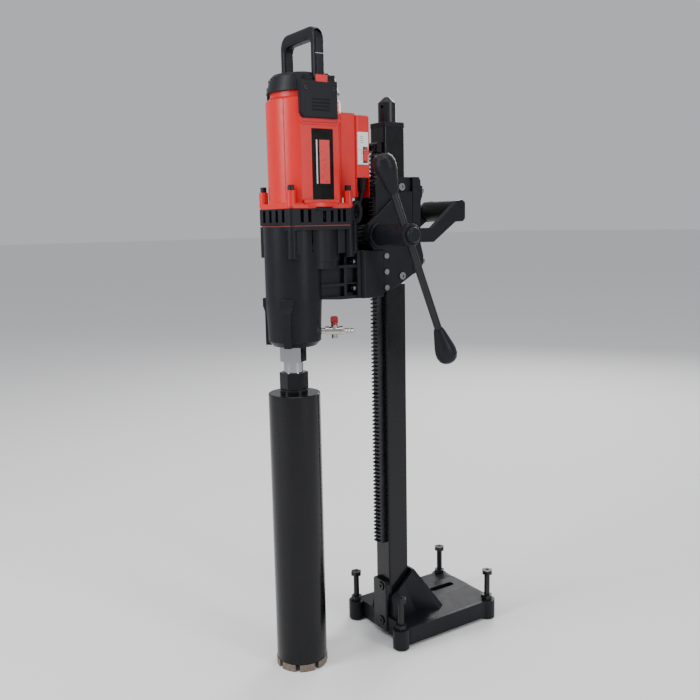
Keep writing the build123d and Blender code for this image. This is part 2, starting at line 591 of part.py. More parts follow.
with BuildPart() as label_plates:
    for side in (-1, 1):
        block(sorted((side * 45.4, side * 46.4)), (-170.8, -134.2), (750.2, 853.8))
finish(label_plates, "label_plates")

with BuildPart() as end_cap:
    with BuildSketch(Plane.XY.offset(901)) as cap_low:
        with Locations((0, MOTOR_Y)):
            Circle(57.5)
            Rectangle(98, 130, mode=Mode.INTERSECT)
    with BuildSketch(Plane.XY.offset(930)) as cap_high:
        with Locations((0, MOTOR_Y)):
            Circle(49.5)
            Rectangle(90, 130, mode=Mode.INTERSECT)
    loft(ruled=True)
    with BuildSketch(Plane.XY.offset(930)) as crown:
        with Locations((0, MOTOR_Y)):
            Circle(49.5)
            Rectangle(90, 130, mode=Mode.INTERSECT)
    extrude(amount=4.5, taper=45)
    post(0, MOTOR_Y, (895, 908), 50.5, mode=Mode.SUBTRACT)
    block((-44, 44), (-230, -80), (895, 908), mode=Mode.SUBTRACT)
    block((-60, 60), (-125, -80), (895, 906), mode=Mode.SUBTRACT)
    block((-60, 60), (-230, -195), (895, 906), mode=Mode.SUBTRACT)
    with BuildSketch(Plane.XY.offset(908), mode=Mode.PRIVATE) as cap_bore:
        with Locations((0, MOTOR_Y)):
            Circle(45)
            Rectangle(82, 130, mode=Mode.INTERSECT)
    extrude(cap_bore.sketch, amount=20, mode=Mode.SUBTRACT)
    block((-60, 60), (MOTOR_Y - 38.2, MOTOR_Y + 30.5), (867, 908), mode=Mode.SUBTRACT)
    block((-60, 60), (MOTOR_Y - 35.5, MOTOR_Y + 30.5), (867, 922.5), mode=Mode.SUBTRACT)
    block((-43, 43), (MOTOR_Y - 35.5, MOTOR_Y + 30.5), (908.1, 932))
    block((-39, 39), (MOTOR_Y - 33, MOTOR_Y + 28), (908, 928), mode=Mode.SUBTRACT)
    for side in (-1, 1):
        block(sorted((side * 37.5, side * 60)), (MOTOR_Y - 9.3, MOTOR_Y + 9.3), (922, 940), mode=Mode.SUBTRACT)
        for screw_y in (-24, 24):
            bar_x(sorted((side * 38, side * 60)), MOTOR_Y + screw_y, 911, 2.2, mode=Mode.SUBTRACT)
finish(end_cap, "end_cap")

with BuildPart() as brush_covers:
    cover_outline = [(MOTOR_Y - 35, 875), (MOTOR_Y - 35, 922), (MOTOR_Y + 30, 922), (MOTOR_Y + 30, 868.5),
                     (MOTOR_Y - 28.5, 868.5)]
    prism(Plane.YZ.offset(46.02), cover_outline, 5.4)
    chamfer(brush_covers.edges().group_by(Axis.X)[-1], 1.2)
    prism(Plane.YZ.offset(43.2), [(MOTOR_Y - 35, 908.3), (MOTOR_Y - 35, 922), (MOTOR_Y + 30, 922),
          (MOTOR_Y + 30, 908.3)], 4)
    for level in range(4):
        bar_y(51.9, (MOTOR_Y - 15, MOTOR_Y + 15), 880 + 5 * level, 1.2, mode=Mode.SUBTRACT)
    for screw_y in (-24, 24):
        bar_x((43, 60), MOTOR_Y + screw_y, 911, 2.2, mode=Mode.SUBTRACT)
        bar_x((49, 60), MOTOR_Y + screw_y, 911, 4.4, mode=Mode.SUBTRACT)
    mirror(about=Plane.YZ)
finish(brush_covers, "brush_covers")

with BuildPart() as top_handle:
    with BuildSketch(Plane.XZ.offset(-MOTOR_Y - 9)):
        with Locations((0, 961)):
            RectangleRounded(103, 78, 20)
        with Locations((0, 940)):
            Rectangle(103, 36)
        with Locations((0, 950)):
            RectangleRounded(76, 64, 9, mode=Mode.SUBTRACT)
        with Locations((0, 930)):
            Rectangle(76, 30, mode=Mode.SUBTRACT)
    extrude(amount=18)
    fillet(top_handle.edges().group_by(Axis.Y)[0] + top_handle.edges().group_by(Axis.Y)[-1], 5)
    for side in (-1, 1):
        with Locations(Location((side * 47, MOTOR_Y, 990), (0, side * 52, 0))):
            Cylinder(6, 4, mode=Mode.SUBTRACT)
finish(top_handle, "top_handle")

# ---------------------------------------------------------------- switch box

with BuildPart() as switch_box:
    rounded((-25, 25), (-110, -79), (755, 882.5), 3)
    post(0, MOTOR_Y, (740, 900), 56.52, mode=Mode.SUBTRACT)
    add(motor_housing.part, mode=Mode.SUBTRACT)
    block((-21, 21), (-98, -78), (760, 878), mode=Mode.SUBTRACT)
finish(switch_box, "switch_box")

with BuildPart() as switch_cover:
    rounded((-25, 25), (-79, -52), (755, 880.5), 4)
    block((-21, 21), (-80, -55), (789, 877), mode=Mode.SUBTRACT)
    block((7, 30), (-77, -55), (750, 785), mode=Mode.SUBTRACT)
    post(LEAD_EXIT[0], LEAD_EXIT[1], (784, 790), 6.02, mode=Mode.SUBTRACT)
    block((13, 30), (-76.5, -55.5), (805, 855), mode=Mode.SUBTRACT)
    chamfer(switch_cover.edges().group_by(Axis.Z)[-1], 1.5)
finish(switch_cover, "switch_cover")

with BuildPart() as breaker_body:
    block((13, 26.6), (-76.4, -55.6), (805.1, 854.9))
    chamfer(breaker_body.edges().group_by(Axis.X)[-1], 1.0)
    block((15, 30), (-66.8, -57.2), (807.5, 832.5), mode=Mode.SUBTRACT)
    block((25.6, 30), (-75, -69), (812, 828), mode=Mode.SUBTRACT)
finish(breaker_body, "breaker_body")

TOGGLE_AXIS = (20.0, 820.0)  # x and z of the toggle's pivot
TOGGLE_REST = math.radians(-10)
toggle_shape = [(-2.5, -5), (-2.5, 5), (7.5, 9), (9.5, 6), (7.6, 0), (9.5, -6), (7.5, -9)]
toggle_outline = [(TOGGLE_AXIS[0] + a * math.cos(TOGGLE_REST) - b * math.sin(TOGGLE_REST),
                   TOGGLE_AXIS[1] + a * math.sin(TOGGLE_REST) + b * math.cos(TOGGLE_REST)) for a, b in toggle_shape]

with BuildPart() as breaker_toggle:
    prism(Plane.XZ.offset(57.5), toggle_outline, 9)
    chamfer(breaker_toggle.edges().group_by(Axis.Y)[0] + breaker_toggle.edges().group_by(Axis.Y)[-1], 0.6)
finish(breaker_toggle, "breaker_toggle")

with BuildPart() as cable_guard:
    guard = [(0, 765), (5.6, 765), (7.6, 782), (8.4, 782), (8.4, 785), (6, 785), (6, 789), (0, 789)]
    turned(guard, LEAD_EXIT[0], LEAD_EXIT[1])
finish(cable_guard, "cable_guard")

with BuildPart() as safety_eye:
    post(27, -86.5, (672, 717), 6)
    with BuildSketch(Plane.YZ.offset(24.2)):
        with Locations((-82, 732)):
            Ellipse(10.5, 18)
            Ellipse(5.2, 11.5, mode=Mode.SUBTRACT)
    extrude(amount=5.6)
finish(safety_eye, "safety_eye")

# ---------------------------------------------------------------- water connection

VALVE_TURN = 57.0
VALVE_Z = 549.0
valve_plane = Plane(origin=(0, NOSE_Y, VALVE_Z), x_dir=(0, 0, 1),
                    z_dir=(math.cos(math.radians(VALVE_TURN)), math.sin(math.radians(VALVE_TURN)), 0))
STEM = 62.0  # the valve stem's distance from the nose axis
STEM_X = STEM * math.cos(math.radians(VALVE_TURN))
STEM_Y = NOSE_Y + STEM * math.sin(math.radians(VALVE_TURN))


def out_from_nose(low, high, radius, mode=Mode.ADD):
    """A cylinder pointing out of the nose along the valve's axis."""
    with BuildSketch(valve_plane.offset(low), mode=Mode.PRIVATE) as section:
        Circle(radius)
    extrude(section.sketch, amount=high - low, mode=mode)


with BuildPart() as valve_body:
    out_from_nose(41.6, 50, 5.0)
    out_from_nose(48, 54, 7.5)
    out_from_nose(53.5, 70, 6.6)
    out_from_nose(70, 75, 7.5)
    post(STEM_X, STEM_Y, (VALVE_Z - 11.5, VALVE_Z), 4.6)
    post(STEM_X, STEM_Y, (VALVE_Z, VALVE_Z + 9.5), 5.6)
    out_from_nose(56, 80, 3.0, mode=Mode.SUBTRACT)
    post(STEM_X, STEM_Y, (VALVE_Z - 6, VALVE_Z + 12), 2 + RUN, mode=Mode.SUBTRACT)
    add(gear_case.part, mode=Mode.SUBTRACT)
finish(valve_body, "valve_body")

with BuildPart() as hose_barb:
    out_from_nose(71, 75, 2.98)
    out_from_nose(75, 94, 3.2)
    for ring in range(3):
        edge = 78.5 + 4.5 * ring
        with BuildSketch(valve_plane.offset(edge), mode=Mode.PRIVATE) as wide:
            Circle(4.7)
        with BuildSketch(valve_plane.offset(edge + 4), mode=Mode.PRIVATE) as narrow:
            Circle(3.3)
        loft([wide.sketch.face(), narrow.sketch.face()])
    out_from_nose(70, 100, 1.8, mode=Mode.SUBTRACT)
finish(hose_barb, "hose_barb")

with BuildPart() as valve_handle:
    post(STEM_X, STEM_Y, (VALVE_Z - 5, VALVE_Z + 12), 2.0)
    post(STEM_X, STEM_Y, (VALVE_Z + 9.8, VALVE_Z + 14), 5.0)
    with BuildSketch(Plane(origin=(STEM_X, STEM_Y, VALVE_Z + 12), x_dir=valve_plane.z_dir,
                           z_dir=(math.sin(math.radians(VALVE_TURN)), -math.cos(math.radians(VALVE_TURN)), 0)),
                     mode=Mode.PRIVATE) as tab:
        with Locations((0, 5)):
            RectangleRounded(12, 12.5, 3.5)
    extrude(tab.sketch, amount=2.2, both=True)
    fillet(valve_handle.edges().filter_by(GeomType.CIRCLE).group_by(Axis.Z)[-1], 0.8)
finish(valve_handle, "valve_handle")

# ---------------------------------------------------------------- armature, idler and motor inside

toward_idler = math.atan2(IDLER_Y - MOTOR_Y, IDLER_X)
toward_spindle = math.atan2(SPINDLE_Y - IDLER_Y, -IDLER_X)

with BuildPart() as armature:
    prism(Plane.XY.offset(674), gear_points(FAST_TEETH[0], FAST_MODULE, 0.12, (0, MOTOR_Y), toward_idler), 16)
    post(0, MOTOR_Y, (690, 896), 5.0)
    post(0, MOTOR_Y, (712, 718), 5.4)
    post(0, MOTOR_Y, (767, 840), 27)
    for slot in range(12):
        turn = 2 * math.pi * slot / 12
        post(26.5 * math.cos(turn), MOTOR_Y + 26.5 * math.sin(turn), (760, 850), 2.2, mode=Mode.SUBTRACT)
    for low, high in ((752, 767), (840, 854)):
        post(0, MOTOR_Y, (low, high), 21)
    post(0, MOTOR_Y, (858, 882), 16)
    post(0, MOTOR_Y, (896, 903.2), 4.0)
    post(0, MOTOR_Y, (719, 722), 43)
    with BuildSketch(Plane.XY.offset(722), mode=Mode.PRIVATE) as blades:
        with Locations((0, MOTOR_Y)):
            with PolarLocations(28, 14):
                Rectangle(28, 2.2, rotation=20)
    extrude(blades.sketch, amount=11)
    post(0, MOTOR_Y, (722, 738), 14)
finish(armature, "armature")

with BuildPart() as idler_gears:
    fast_turn = toward_idler + math.pi + math.pi / FAST_TEETH[1]
    prism(Plane.XY.offset(676), gear_points(FAST_TEETH[1], FAST_MODULE, 0.12, (IDLER_X, IDLER_Y), fast_turn), 10)
    prism(Plane.XY.offset(654), gear_points(SLOW_TEETH[0], SLOW_MODULE, 0.15, (IDLER_X, IDLER_Y),
          toward_spindle), 18)
    post(IDLER_X, IDLER_Y, (645, 705), 4)
    post(IDLER_X, IDLER_Y, (672, 676), 7)
finish(idler_gears, "idler_gears")

with BuildPart() as stator:
    with BuildSketch(Plane.XY.offset(768)):
        with Locations((0, MOTOR_Y)):
            Circle(50.3)
            Rectangle(83.6, 110, mode=Mode.INTERSECT)
            Circle(28, mode=Mode.SUBTRACT)
            for side in (-1, 1):
                with Locations((0, side * 38)):
                    Rectangle(48, 9, mode=Mode.SUBTRACT)
    extrude(amount=71)
    for side in (-1, 1):
        block((-23.9, 23.9), sorted((MOTOR_Y + side * 33.6, MOTOR_Y + side * 42.4)), (762, 845))
finish(stator, "stator")

with BuildPart() as brush_holders:
    for side in (-1, 1):
        block(sorted((side * 16.4, side * 45.9)), (MOTOR_Y - 7, MOTOR_Y + 7), (873.5, 880.5))
        block(sorted((side * 22, side * 44)), (MOTOR_Y - 8.5, MOTOR_Y + 8.5), (872.2, 887))
finish(brush_holders, "brush_holders")

with BuildPart() as bearings:
    bearing(0, SPINDLE_Y, (548, 562), 12 + RUN, 19.98)
    bearing(0, SPINDLE_Y, (640.02, 651.9), 12 + RUN, 21.98)
    bearing(0, MOTOR_Y, (700.02, 710.9), 5 + RUN, 12.98)
    bearing(0, MOTOR_Y, (896.5, 903.4), 4 + RUN, 10.98)
finish(bearings, "bearings")

# ---------------------------------------------------------------- spindle and bit

with BuildPart() as spindle:
    turned([(0, 466), (15.6, 466), (15.6, 503), (17, 503), (17, 542), (12, 545), (12, 672), (0, 672)], 0,
           SPINDLE_Y)
    hexagon(0, SPINDLE_Y, (503, 526), 36, turn=4)
    chamfer(spindle.edges().filter_by(GeomType.CIRCLE).group_by(Axis.Z)[0], 1.5)
    spindle_turn = toward_spindle + math.pi + math.pi / SLOW_TEETH[1]
    prism(Plane.XY.offset(655), gear_points(SLOW_TEETH[1], SLOW_MODULE, 0.15, (0, SPINDLE_Y), spindle_turn), 13)
    post(0, SPINDLE_Y, (460, 560), 5, mode=Mode.SUBTRACT)
finish(spindle, "spindle")

with BuildPart() as bit_adapter:
    hexagon(0, SPINDLE_Y, (459, 486), 38.8, turn=4)
    post(0, SPINDLE_Y, (445, 459), 15)
    post(0, SPINDLE_Y, (BIT_TOP, 459.5), 22.4)
    post(0, SPINDLE_Y, (466, 490), 15.62, mode=Mode.SUBTRACT)
    post(0, SPINDLE_Y, (440, 470), 8, mode=Mode.SUBTRACT)
finish(bit_adapter, "bit_adapter")

with BuildPart() as core_tube:
    post(0, SPINDLE_Y, (BIT_LOW, BIT_TOP), BIT_R)
    post(0, SPINDLE_Y, (BIT_LOW - 1, BIT_TOP - 8), BIT_R - 2.5, mode=Mode.SUBTRACT)
    post(0, SPINDLE_Y, (440, 460), 15.02, mode=Mode.SUBTRACT)
    chamfer(core_tube.edges().filter_by(GeomType.CIRCLE).group_by(Axis.Z)[-1].sort_by(SortBy.LENGTH)[-1], 1.0)
finish(core_tube, "core_tube")

SEGMENTS = 8
SEGMENT_ANGLE = 35.0
SEGMENT_GAP_AT = -40.5
with BuildPart() as core_segments:
    post(0, SPINDLE_Y, (0, BIT_LOW), BIT_R + 0.8)
    post(0, SPINDLE_Y, (-1, BIT_LOW + 1), BIT_R - 3.3, mode=Mode.SUBTRACT)
    for segment in range(SEGMENTS):
        with BuildSketch(Plane(origin=(0, SPINDLE_Y, 0)).rotated((0, 0, SEGMENT_GAP_AT + 360 / SEGMENTS * segment)),
                         mode=Mode.PRIVATE) as gap:
            with Locations((BIT_R, 0)):
                Rectangle(12, 2 * BIT_R * math.tan(math.radians((360 / SEGMENTS - SEGMENT_ANGLE) / 2)))
        extrude(gap.sketch, amount=BIT_LOW, mode=Mode.SUBTRACT)
finish(core_segments, "core_segments")

# ---------------------------------------------------------------- feed handle

with BuildPart() as feed_shaft:
    bar_x((-78.2, 96), PINION_Y, PINION_Z, SHAFT_R)
    bar_x((-83, -78.2), PINION_Y, PINION_Z, 13)
    gap_above = RACK_LOW + rack_pitch * math.ceil((PINION_Z - RACK_LOW) / rack_pitch)
    pinion_turn = (gap_above - PINION_Z) / PINION_R
    prism(Plane.YZ.offset(-10), gear_points(PINION_TEETH, RACK_MODULE, 0.24, (PINION_Y, PINION_Z), pinion_turn), 20)
finish(feed_shaft, "feed_shaft")

BAR_R = 6.0
bar_plane = Plane(origin=(BAR_X, PINION_Y, PINION_Z), x_dir=(1, 0, 0),
                  z_dir=(0, -math.cos(math.radians(BAR_TILT)), -math.sin(math.radians(BAR_TILT))))


def along_bar(points, mode=Mode.ADD):
    """An outline of (radius, distance up the bar from the hub) turned about the crossbar."""
    with BuildSketch(bar_plane, mode=Mode.PRIVATE) as half:
        with BuildLine():
            Polyline(*points, close=True)
        make_face()
    revolve(half.sketch, axis=Axis(bar_plane.origin, bar_plane.y_dir), mode=mode)


with BuildPart() as feed_hub:
    bar_x((43.4, 100), PINION_Y, PINION_Z, 16.3)
    bar_x((100, 124), PINION_Y, PINION_Z, 17.0)
    chamfer(feed_hub.edges().filter_by(GeomType.CIRCLE).group_by(Axis.X)[-1], 1.5)
    bar_x((124, 131), PINION_Y, PINION_Z, 12.0)
    fillet(feed_hub.edges().filter_by(GeomType.CIRCLE).group_by(Axis.X)[-1], 4)
    bar_x((40, 96.2), PINION_Y, PINION_Z, SHAFT_R + 0.02, mode=Mode.SUBTRACT)
    along_bar([(0, -30), (BAR_R + RUN, -30), (BAR_R + RUN, 30), (0, 30)], mode=Mode.SUBTRACT)
finish(feed_hub, "feed_hub")

UPPER_KNOB = 67.0
LOWER_KNOB = -160.0
KNOB_LENGTH = 60.0

with BuildPart() as crossbar:
    along_bar([(0, LOWER_KNOB - 30), (BAR_R, LOWER_KNOB - 30), (BAR_R, UPPER_KNOB + 30), (0, UPPER_KNOB + 30)])
finish(crossbar, "crossbar")


def knob_profile(start, way):
    """A pear-shaped knob that starts at a distance along the bar and runs one way."""
    stations = [(7.4, 0), (8.6, 3), (12.5, 18), (16.2, 33), (17.2, 40), (17.0, 47), (14.8, 54), (10.5, 58.5),
                (5.0, KNOB_LENGTH)]
    inner = [(0, start + way * KNOB_LENGTH), (0, start + way * 30.1), (BAR_R + 0.02, start + way * 30.1),
             (BAR_R + 0.02, start)]
    return [(radius, start + way * along) for radius, along in stations] + inner


with BuildPart() as crossbar_knobs:
    along_bar(knob_profile(UPPER_KNOB, 1))
    along_bar(knob_profile(LOWER_KNOB, -1))
finish(crossbar_knobs, "crossbar_knobs")

# ---------------------------------------------------------------- mains lead, put away on the far cheek

COIL_Y = PINION_Y
COIL_IN = 38.0
COIL_OUT = 54.0
COIL_Z = PINION_Z + 14.0 + 0.1 - COIL_IN  # hangs on the left bush housing
COIL_X = (-76.2, -44.2)


def bend_radii(points):
    """The largest arc that each corner of a route leaves room for."""
    radii = []
    for before, corner, after in zip(points, points[1:], points[2:]):
        into = Vector(*corner) - Vector(*before)
        out = Vector(*after) - Vector(*corner)
        half_turn = math.radians(into.get_angle(out)) / 2
        radii.append(0.45 * min(into.length, out.length) / math.tan(half_turn))
    return radii


lead_points = [LEAD_EXIT, (16.5, -66.4, 750), (11.5, -72, 735.3), (0.7, -80.7, 721), (-16.4, -90.6, 709),
               (-31.8, -93.1, 696.2), (-42.2, -92.6, 679.1), (-46.2, -93.1, 661.3)]
tail_points = [(-72.2, -38, COIL_Z + 50), (-74, -58.8, COIL_Z + 49.5), (-80.5, -75.3, COIL_Z + 43),
               (-87, -87.3, COIL_Z + 30), (-91.5, -93.3, COIL_Z + 13), (-92.5, -94.8, COIL_Z - 4)]

with BuildPart() as mains_lead:
    for points in (lead_points, tail_points):
        with BuildLine() as route:
            FilletPolyline(*points, radius=bend_radii(points))
        with BuildSketch(Plane(origin=route.line @ 0, z_dir=route.line % 0)):
            Circle(LEAD_R)
        sweep(path=route.line)
        lead_length = sum(edge.length for edge in route.line.edges())
        print("radii", [round(r) for r in bend_radii(points)], "length", round(lead_length, 1))
print("lead volume", round(mains_lead.part.volume))
finish(mains_lead, "mains_lead")

with BuildPart() as lead_coil:
    bar_x(COIL_X, COIL_Y, COIL_Z, COIL_OUT)
    bar_x(COIL_X, COIL_Y, COIL_Z, COIL_IN, mode=Mode.SUBTRACT)
    add(mains_lead.part, mode=Mode.SUBTRACT)
finish(lead_coil, "lead_coil")

with BuildPart() as mains_plug:
    plug_x, plug_y, plug_top = tail_points[-1]
    turned([(0, plug_top), (5.5, plug_top), (7.5, plug_top - 14), (12, plug_top - 18), (15.8, plug_top - 30),
            (15.8, plug_top - 44), (0, plug_top - 44)], plug_x, plug_y)
    for side in (-1, 1):
        post(plug_x, plug_y + side * 9.5, (plug_top - 62, plug_top - 44), 2.4)
finish(mains_plug, "mains_plug")
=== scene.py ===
"""Core drill rig: looks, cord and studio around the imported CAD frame. Metres, +Z up."""
import json
import math

import bmesh
import bpy
from mathutils import Matrix, Vector


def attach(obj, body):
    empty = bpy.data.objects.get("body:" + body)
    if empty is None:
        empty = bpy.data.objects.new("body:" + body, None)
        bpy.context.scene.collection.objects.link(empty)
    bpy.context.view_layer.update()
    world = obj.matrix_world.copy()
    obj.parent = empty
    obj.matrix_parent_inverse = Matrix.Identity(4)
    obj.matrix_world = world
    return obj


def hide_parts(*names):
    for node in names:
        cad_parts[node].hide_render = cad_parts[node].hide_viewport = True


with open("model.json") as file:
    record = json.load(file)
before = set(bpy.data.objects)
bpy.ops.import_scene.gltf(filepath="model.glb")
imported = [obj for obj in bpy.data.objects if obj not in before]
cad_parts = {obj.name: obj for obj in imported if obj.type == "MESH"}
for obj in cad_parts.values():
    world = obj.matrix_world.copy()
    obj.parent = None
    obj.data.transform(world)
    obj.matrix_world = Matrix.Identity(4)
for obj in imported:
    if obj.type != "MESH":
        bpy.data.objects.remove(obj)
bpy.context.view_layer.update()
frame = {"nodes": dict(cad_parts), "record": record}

MM = 0.001

# ---------------------------------------------------------------- camera

CAMERA_AT = Vector((1.10684, -0.80784, 0.71525))
CAMERA_YAW = math.radians(56.69)
CAMERA_PITCH = math.radians(8.83)  # downwards
CAMERA_ROLL = math.radians(-1.11)
SENSOR = 36.0
LENS = 42.05


def make_camera():
    yaw, pitch, roll = CAMERA_YAW, CAMERA_PITCH, CAMERA_ROLL
    right = Vector((math.cos(yaw), math.sin(yaw), 0))
    look = Vector((-math.sin(yaw) * math.cos(pitch), math.cos(yaw) * math.cos(pitch), -math.sin(pitch)))
    up = right.cross(look)
    tilted_right = math.cos(roll) * right + math.sin(roll) * up
    tilted_up = -math.sin(roll) * right + math.cos(roll) * up
    data = bpy.data.cameras.new("camera")
    data.lens = LENS
    data.sensor_width = SENSOR
    data.clip_start = 0.05
    camera = bpy.data.objects.new("camera", data)
    bpy.context.scene.collection.objects.link(camera)
    turn = Matrix((tilted_right, tilted_up, -look)).transposed().to_4x4()
    camera.matrix_world = Matrix.Translation(CAMERA_AT) @ turn
    bpy.context.scene.camera = camera


make_camera()

# ---------------------------------------------------------------- materials

BEVEL_SAMPLES = 4
RUB_AND_HIGHLIGHT_REACH = 1.1  # how far the rubbed paint and painted edge highlight spread from an edge, in millimetres
RUB_AND_HIGHLIGHT_PATCHES = 140  # patches of rubbed paint and painted edge highlight per metre
COAT_ROUGHNESS = 0.12
GRAIN_DEPTH = 0.0004


def nodes_of(material):
    tree = material.node_tree
    return tree.nodes, tree.links


def noise(nodes, links, coords, scale, detail=3.0, roughness=0.5, stretch=None):
    """A noise texture in object coordinates; scale is in features per metre."""
    source = coords.outputs["Object"]
    if stretch:
        mapping = nodes.new("ShaderNodeMapping")
        mapping.inputs["Scale"].default_value = stretch
        links.new(source, mapping.inputs["Vector"])
        source = mapping.outputs["Vector"]
    texture = nodes.new("ShaderNodeTexNoise")
    texture.inputs["Scale"].default_value = scale
    texture.inputs["Detail"].default_value = detail
    texture.inputs["Roughness"].default_value = roughness
    links.new(source, texture.inputs["Vector"])
    return texture.outputs["Fac"]


def remap(nodes, links, value, low, high, start=0.3, end=0.7):
    """Stretches a noise value from start..end to low..high."""
    step = nodes.new("ShaderNodeMapRange")
    step.inputs["From Min"].default_value = start
    step.inputs["From Max"].default_value = end
    step.inputs["To Min"].default_value = low
    step.inputs["To Max"].default_value = high
    links.new(value, step.inputs["Value"])
    return step.outputs["Result"]


def blend_colours(nodes, links, amount, first, second):
    mix = nodes.new("ShaderNodeMix")
    mix.data_type = "RGBA"
    links.new(amount, mix.inputs[0])
    for socket, colour in ((6, first), (7, second)):
        if isinstance(colour, tuple):
            mix.inputs[socket].default_value = (*colour, 1)
        else:
            links.new(colour, mix.inputs[socket])
    return mix.outputs[2]


def edge_mask(nodes, links, radius):
    """0 on faces, towards 1 on edges of about that radius."""
    geometry = nodes.new("ShaderNodeNewGeometry")
    bevel = nodes.new("ShaderNodeBevel")
    bevel.samples = BEVEL_SAMPLES
    bevel.inputs["Radius"].default_value = radius
    dot = nodes.new("ShaderNodeVectorMath")
    dot.operation = "DOT_PRODUCT"
    links.new(geometry.outputs["Normal"], dot.inputs[0])
    links.new(bevel.outputs["Normal"], dot.inputs[1])
    return remap(nodes, links, dot.outputs["Value"], 1, 0, 0.86, 0.995)


def surface(name, colour, roughness, metallic=0.0, grain=(1600, 0.15), variation=0.12, blotch=18,
            round_edge=0.7, coat=0.0, wear_and_highlight=None, spread=0.06, stretch=None, specular=0.5):
    """A procedural finish: colour drift, uneven gloss, fine relief, softened edges and optional lighter
    edges, partly rubbed paint and partly a painted highlight.

    grain is (features per metre, strength), wear_and_highlight is (colour, strength) for the rubbed paint
    and painted edge highlight, round_edge is in millimetres.
    """
    material = bpy.data.materials.new(name)
    material.use_nodes = True
    nodes, links = nodes_of(material)
    shader = nodes["Principled BSDF"]
    coords = nodes.new("ShaderNodeTexCoord")
    drift = remap(nodes, links, noise(nodes, links, coords, blotch, 4.0, 0.6, stretch), 0, 1)
    dark = tuple(c * (1 - variation) for c in colour)
    light = tuple(min(1.0, c * (1 + variation)) for c in colour)
    paint = blend_colours(nodes, links, drift, dark, light)
    # Lighter colour along edges in patches: partly rubbed paint, partly a painted highlight on the edges.
    if wear_and_highlight:
        rub_and_highlight_colour, strength = wear_and_highlight
        edges = edge_mask(nodes, links, RUB_AND_HIGHLIGHT_REACH * MM)
        patchy = remap(nodes, links, noise(nodes, links, coords, RUB_AND_HIGHLIGHT_PATCHES, 5.0, 0.7), 0, 1, 0.45, 0.65)
        product = nodes.new("ShaderNodeMath")
        product.operation = "MULTIPLY"
        links.new(edges, product.inputs[0])
        links.new(patchy, product.inputs[1])
        scaled = nodes.new("ShaderNodeMath")
        scaled.operation = "MULTIPLY"
        scaled.inputs[1].default_value = strength
        links.new(product.outputs[0], scaled.inputs[0])
        paint = blend_colours(nodes, links, scaled.outputs[0], paint, rub_and_highlight_colour)
    links.new(paint, shader.inputs["Base Color"])
    gloss = noise(nodes, links, coords, blotch * 5, 5.0, 0.65, stretch)
    links.new(remap(nodes, links, gloss, max(0.02, roughness - spread), roughness + spread),
              shader.inputs["Roughness"])
    shader.inputs["Metallic"].default_value = metallic
    shader.inputs["Specular IOR Level"].default_value = specular
    if coat:
        shader.inputs["Coat Weight"].default_value = coat
        shader.inputs["Coat Roughness"].default_value = COAT_ROUGHNESS
    bump = nodes.new("ShaderNodeBump")
    bump.inputs["Strength"].default_value = grain[1]
    bump.inputs["Distance"].default_value = GRAIN_DEPTH
    links.new(noise(nodes, links, coords, grain[0], 2.0, 0.5, stretch), bump.inputs["Height"])
    if round_edge:
        bevel = nodes.new("ShaderNodeBevel")
        bevel.samples = BEVEL_SAMPLES
        bevel.inputs["Radius"].default_value = round_edge * MM
        links.new(bevel.outputs["Normal"], bump.inputs["Normal"])
    links.new(bump.outputs["Normal"], shader.inputs["Normal"])
    return material
